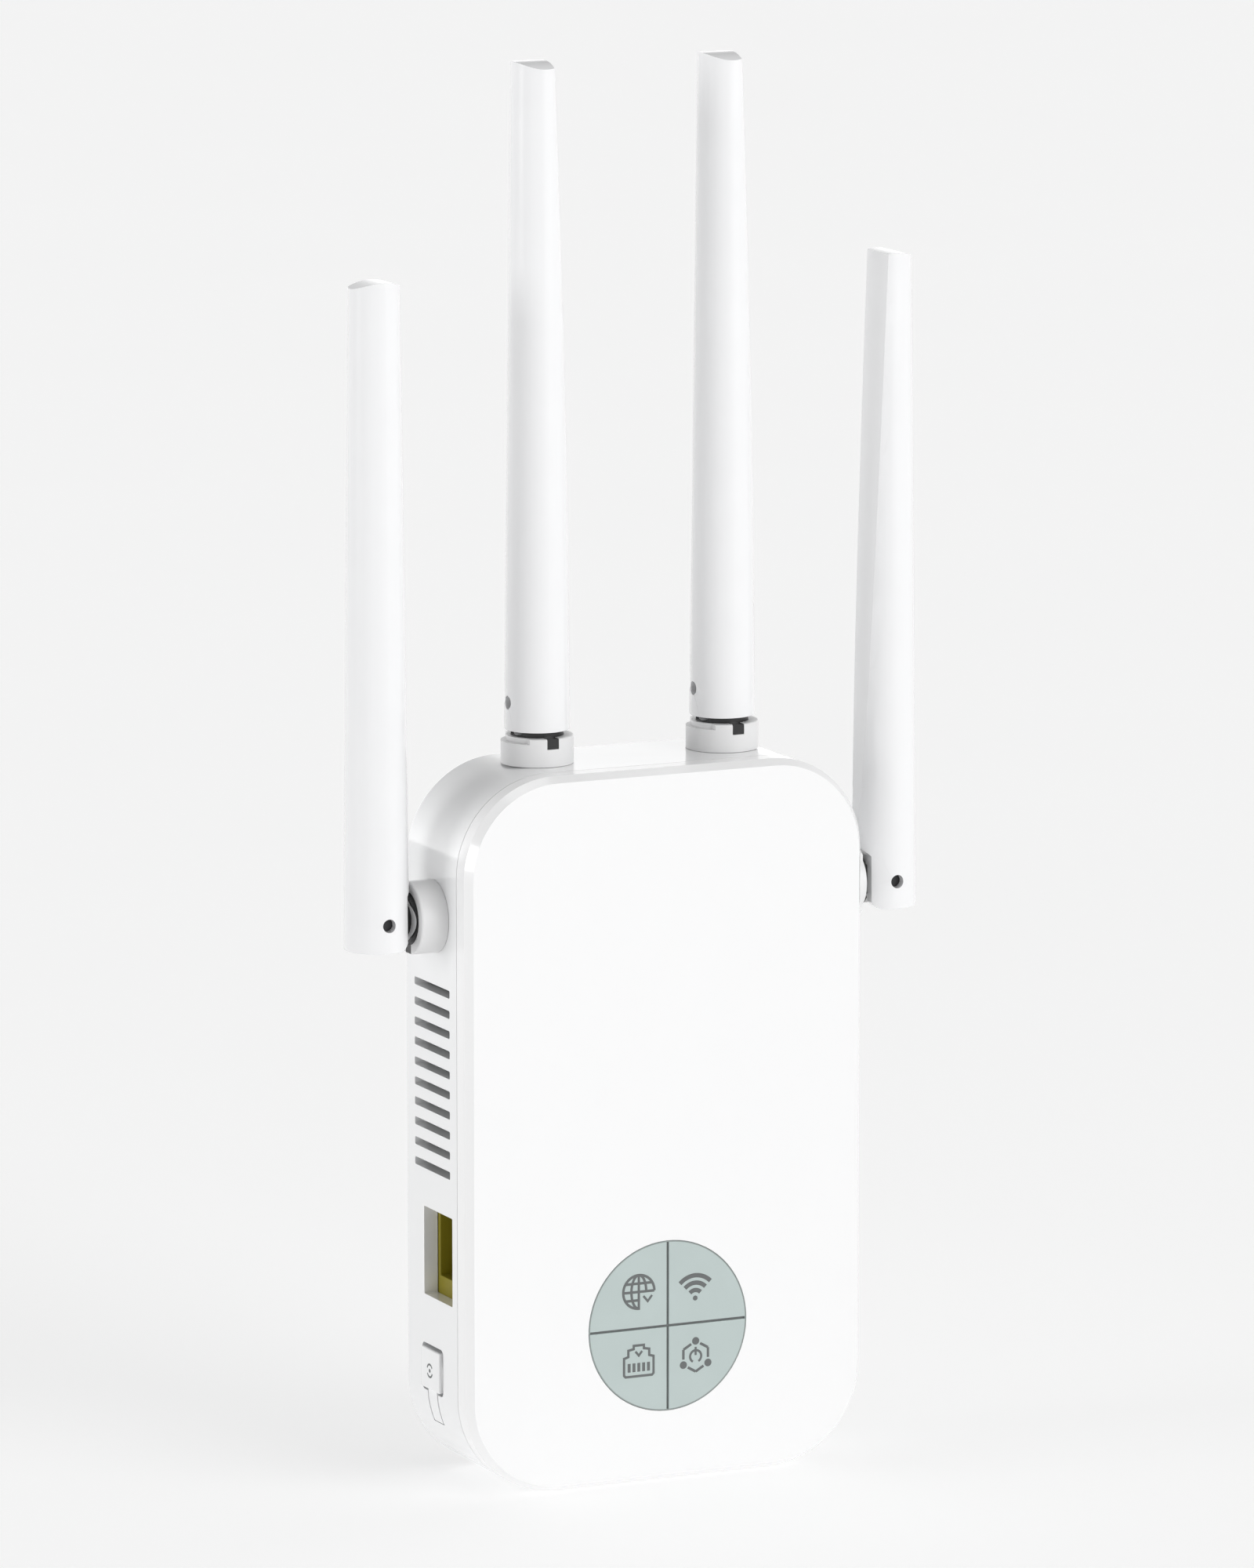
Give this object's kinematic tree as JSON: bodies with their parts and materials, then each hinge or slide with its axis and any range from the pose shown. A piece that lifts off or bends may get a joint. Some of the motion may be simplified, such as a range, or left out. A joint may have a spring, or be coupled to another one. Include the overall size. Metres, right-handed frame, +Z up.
{
  "type": "plug-in wifi range extender",
  "caption": "White plug-in wireless range extender with a rounded upright body, folding round antennas, a round status lens, side vents, network port and side button.",
  "frame": {"origin": "on the wall face, midway between the two plug pins", "axes": "+Y into the wall along the plug pins, +Z up, +X to the viewer's right as seen from the room"},
  "size_m": [0.1113, 0.0463, 0.2536],
  "materials": {
    "shell_white": "glossy, very slightly grey white",
    "cover_white": "glossy white",
    "lens_sage": "satin grey-green, translucent",
    "baffle_white": "matte",
    "board_green": "solder mask over glass fibre",
    "led_clear": "clear resin",
    "tin_plate": "bright tin plate",
    "chip_black": "matte moulding compound",
    "jack_amber": "olive amber moulding",
    "gold_contact": "gold flash",
    "switch_black": "matte",
    "transformer_yellow": "taped winding",
    "capacitor_dark": "shrink sleeve",
    "plug_white": "satin",
    "pin_nickel": "nickel plate",
    "sleeve_grey": "matte",
    "screw_steel": "zinc plate",
    "lead_black": "matte jacket",
    "collar_white": "satin white",
    "knuckle_black": "satin black",
    "antenna_white": "glossy white",
    "hinge_steel": "plain steel",
    "radiator_copper": "copper strip"
  },
  "bodies": {
    "base": {"rear_shell": "shell_white", "front_cover": "cover_white", "indicator_lens": "lens_sage", "light_baffle": "baffle_white", "main_board": "board_green", "status_leds": "led_clear", "shield_can": "tin_plate", "radio_chips": "chip_black", "ethernet_jack": "jack_amber", "ethernet_contacts": "gold_contact", "ethernet_magnetics": "chip_black", "wps_switch": "switch_black", "power_board": "board_green", "power_transformer": "transformer_yellow", "bulk_capacitors": "capacitor_dark", "power_parts": "chip_black", "board_header": "gold_contact", "plug_base": "plug_white", "plug_pin_left": "pin_nickel", "plug_pin_right": "pin_nickel", "pin_sleeves": "sleeve_grey", "cover_screws": "screw_steel", "board_screws": "screw_steel", "coax_connectors": "gold_contact", "coax_lead_top_left": "lead_black", "coax_lead_top_right": "lead_black", "coax_lead_side_left": "lead_black", "coax_lead_side_right": "lead_black"},
    "button": {"wps_button": "shell_white"},
    "plunger": {"switch_plunger": "switch_black"},
    "swivel_top_left": {"collar_top_left": "collar_white", "collar_clip_top_left": "screw_steel", "knuckle_top_left": "knuckle_black"},
    "arm_top_left": {"antenna_top_left": "antenna_white", "hinge_pin_top_left": "hinge_steel", "radiator_top_left": "radiator_copper"},
    "swivel_top_right": {"collar_top_right": "collar_white", "collar_clip_top_right": "screw_steel", "knuckle_top_right": "knuckle_black"},
    "arm_top_right": {"antenna_top_right": "antenna_white", "hinge_pin_top_right": "hinge_steel", "radiator_top_right": "radiator_copper"},
    "swivel_side_left": {"collar_side_left": "collar_white", "collar_clip_side_left": "screw_steel", "knuckle_side_left": "knuckle_black"},
    "arm_side_left": {"antenna_side_left": "antenna_white", "hinge_pin_side_left": "hinge_steel", "radiator_side_left": "radiator_copper"},
    "swivel_side_right": {"collar_side_right": "collar_white", "collar_clip_side_right": "screw_steel", "knuckle_side_right": "knuckle_black"},
    "arm_side_right": {"antenna_side_right": "antenna_white", "hinge_pin_side_right": "hinge_steel", "radiator_side_right": "radiator_copper"}
  },
  "joints": [
    {"name": "turn_top_left", "type": "hinge", "parent": "base", "child": "swivel_top_left", "pos_m": [-0.01813, -0.0114, 0.0645], "axis": [0, 0, 1], "range_deg": [0, 180]},
    {"name": "fold_top_left", "type": "hinge", "parent": "swivel_top_left", "child": "arm_top_left", "pos_m": [-0.01813, -0.0114, 0.07556], "axis": [-1, 0, 0], "range_deg": [0, 90]},
    {"name": "turn_top_right", "type": "hinge", "parent": "base", "child": "swivel_top_right", "pos_m": [0.01813, -0.0114, 0.0645], "axis": [0, 0, -1], "range_deg": [0, 180]},
    {"name": "fold_top_right", "type": "hinge", "parent": "swivel_top_right", "child": "arm_top_right", "pos_m": [0.01813, -0.0114, 0.07556], "axis": [-1, 0, 0], "range_deg": [0, 90]},
    {"name": "turn_side_left", "type": "hinge", "parent": "base", "child": "swivel_side_left", "pos_m": [-0.03875, -0.01262, 0.03867], "axis": [1, 0, 0], "range_deg": [0, 180]},
    {"name": "fold_side_left", "type": "hinge", "parent": "swivel_side_left", "child": "arm_side_left", "pos_m": [-0.04981, -0.01262, 0.03867], "axis": [0, -1, 0], "range_deg": [0, 90]},
    {"name": "turn_side_right", "type": "hinge", "parent": "base", "child": "swivel_side_right", "pos_m": [0.03875, -0.01262, 0.03867], "axis": [1, 0, 0], "range_deg": [0, 180]},
    {"name": "fold_side_right", "type": "hinge", "parent": "swivel_side_right", "child": "arm_side_right", "pos_m": [0.04981, -0.01262, 0.03867], "axis": [0, 1, 0], "range_deg": [0, 90]},
    {"name": "press_button", "type": "hinge", "parent": "base", "child": "button", "pos_m": [-0.037, -0.01125, -0.0536], "axis": [0, 1, 0], "range_deg": [0, 2.8], "stiffness_Nm_per_rad": 0.15, "springref_deg": -1.72},
    {"name": "press_plunger", "type": "slide", "parent": "base", "child": "plunger", "axis": [1, 0, 0], "range_m": [0, 0.00048]}
  ],
  "couplings": [
    {"joint": "press_plunger", "follows": "press_button", "m_per_rad": 0.0096}
  ]
}
